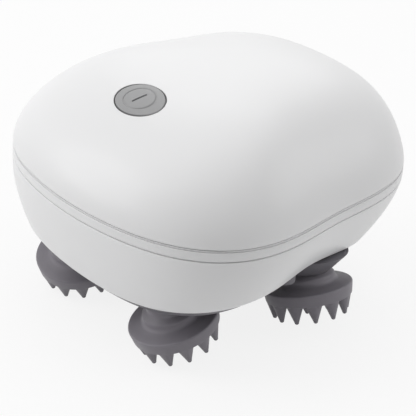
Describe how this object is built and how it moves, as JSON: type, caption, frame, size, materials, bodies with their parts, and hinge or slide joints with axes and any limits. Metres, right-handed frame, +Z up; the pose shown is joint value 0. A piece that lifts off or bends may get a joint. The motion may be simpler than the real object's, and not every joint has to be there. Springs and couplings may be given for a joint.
{
  "type": "electric scalp massager",
  "caption": "Palm-sized electric scalp massager: white domed shell with an oval grey button, a trim band, and wobbling silicone kneading heads with finger nodes beneath.",
  "frame": {"origin": "under the middle of the shell's outline, in the plane of the lowest finger tips", "axes": "+Z up, out of the top of the dome; +X from the button end to the narrow end; Y across, with Y = 0 the shell's plane of symmetry"},
  "size_m": [0.126, 0.1234, 0.086],
  "materials": {
    "shell": "white, satin gloss",
    "trim": "pale grey-white, satin gloss",
    "cover": "dark warm grey, fine grain",
    "seal": "black silicone",
    "silicone": "dark warm grey silicone",
    "hub": "grey acetal",
    "frame": "grey moulding",
    "nylon": "natural nylon",
    "steel": "turned steel",
    "screw": "nickel-plated steel",
    "bronze": "sintered bronze",
    "motor": "zinc-plated steel",
    "cell": "blue sleeve",
    "board": "green resist",
    "switch": "black",
    "button": "mid grey, satin",
    "lamp": "smoked light guide",
    "gasket": "black",
    "socket": "nickel-plated shell",
    "plug": "pale grey silicone",
    "lead": "red insulation"
  },
  "bodies": {
    "case": {"top_shell": "shell", "trim_band": "trim", "lower_shell": "shell", "base_cover": "cover", "neck_seals": "seal", "guide_pins": "steel", "case_screws": "screw", "lower_deck": "frame", "upper_deck": "frame", "deck_pillars": "bronze", "deck_screws": "screw", "pillar_screws": "screw", "spindle_bushes": "bronze", "centre_axle": "steel", "idler_axle": "steel", "motor_can": "motor", "motor_screws": "screw", "battery_cell": "cell", "circuit_board": "board", "board_screws": "screw", "tact_switch": "switch", "button_gasket": "gasket", "charge_socket": "socket", "socket_board": "board", "inner_leads": "lead"},
    "centre": {"centre_gear": "nylon"},
    "idler": {"idler_gear": "nylon"},
    "rotor": {"motor_pinion": "bronze", "motor_shaft": "steel"},
    "button": {"button_cap": "button", "indicator_bar": "lamp", "switch_plunger": "switch"},
    "plug": {"port_plug": "plug"},
    "spindle_1": {"spindle_1": "steel", "spindle_gear_1": "nylon", "head_washer_1": "steel", "head_screw_1": "screw"},
    "head_1": {"head_hub_1": "hub", "head_skin_1": "silicone"},
    "spindle_2": {"spindle_2": "steel", "spindle_gear_2": "nylon", "head_washer_2": "steel", "head_screw_2": "screw"},
    "head_2": {"head_hub_2": "hub", "head_skin_2": "silicone"},
    "spindle_3": {"spindle_3": "steel", "spindle_gear_3": "nylon", "head_washer_3": "steel", "head_screw_3": "screw"},
    "head_3": {"head_hub_3": "hub", "head_skin_3": "silicone"},
    "spindle_4": {"spindle_4": "steel", "spindle_gear_4": "nylon", "head_washer_4": "steel", "head_screw_4": "screw"},
    "head_4": {"head_hub_4": "hub", "head_skin_4": "silicone"}
  },
  "joints": [
    {"name": "centre_gear_spin", "type": "hinge", "parent": "case", "child": "centre", "pos_m": [-0.00769, 0, 0.03911], "axis": [0, 0, 1], "continuous": true},
    {"name": "idler_spin", "type": "hinge", "parent": "case", "child": "idler", "pos_m": [0.02311, 0, 0.04611], "axis": [0, 0, 1], "continuous": true},
    {"name": "motor_spin", "type": "hinge", "parent": "case", "child": "rotor", "pos_m": [0.00871, 0, 0.04811], "axis": [0, 0, 1], "continuous": true},
    {"name": "spindle_1_spin", "type": "hinge", "parent": "case", "child": "spindle_1", "pos_m": [-0.03954, 0.02551, 0.02241], "axis": [0, 0, 1], "continuous": true},
    {"name": "head_1_wobble", "type": "hinge", "parent": "spindle_1", "child": "head_1", "pos_m": [-0.03954, 0.02551, 0.02241], "axis": [-0.2747, -0.1223, 0.9537], "continuous": true},
    {"name": "spindle_2_spin", "type": "hinge", "parent": "case", "child": "spindle_2", "pos_m": [-0.03954, -0.02551, 0.02241], "axis": [0, 0, 1], "continuous": true},
    {"name": "head_2_wobble", "type": "hinge", "parent": "spindle_2", "child": "head_2", "pos_m": [-0.03954, -0.02551, 0.02241], "axis": [-0.2719, 0.1285, 0.9537], "continuous": true},
    {"name": "spindle_3_spin", "type": "hinge", "parent": "case", "child": "spindle_3", "pos_m": [0.01429, -0.03437, 0.02241], "axis": [0, 0, 1], "continuous": true},
    {"name": "head_3_wobble", "type": "hinge", "parent": "spindle_3", "child": "head_3", "pos_m": [0.01429, -0.03437, 0.02241], "axis": [0.0262, 0.2996, 0.9537], "continuous": true},
    {"name": "spindle_4_spin", "type": "hinge", "parent": "case", "child": "spindle_4", "pos_m": [0.01429, 0.03437, 0.02241], "axis": [0, 0, 1], "continuous": true},
    {"name": "head_4_wobble", "type": "hinge", "parent": "spindle_4", "child": "head_4", "pos_m": [0.01429, 0.03437, 0.02241], "axis": [-0.1028, -0.2826, 0.9537], "continuous": true},
    {"name": "button_press", "type": "slide", "parent": "case", "child": "button", "axis": [0.3176, 0, -0.9482], "range_m": [0, 0.0008], "stiffness_N_per_m": 300},
    {"name": "plug_pull", "type": "slide", "parent": "case", "child": "plug", "axis": [1, 0, 0], "range_m": [0, 0.006]}
  ],
  "couplings": [
    {"joint": "idler_spin", "follows": "centre_gear_spin", "ratio": -5.4167},
    {"joint": "motor_spin", "follows": "centre_gear_spin", "ratio": 20.583},
    {"joint": "spindle_1_spin", "follows": "centre_gear_spin", "ratio": -1.8333},
    {"joint": "head_1_wobble", "follows": "centre_gear_spin", "ratio": 1.8333},
    {"joint": "spindle_2_spin", "follows": "centre_gear_spin", "ratio": -1.8333},
    {"joint": "head_2_wobble", "follows": "centre_gear_spin", "ratio": 1.8333},
    {"joint": "spindle_3_spin", "follows": "centre_gear_spin", "ratio": -1.8333},
    {"joint": "head_3_wobble", "follows": "centre_gear_spin", "ratio": 1.8333},
    {"joint": "spindle_4_spin", "follows": "centre_gear_spin", "ratio": -1.8333},
    {"joint": "head_4_wobble", "follows": "centre_gear_spin", "ratio": 1.8333}
  ]
}
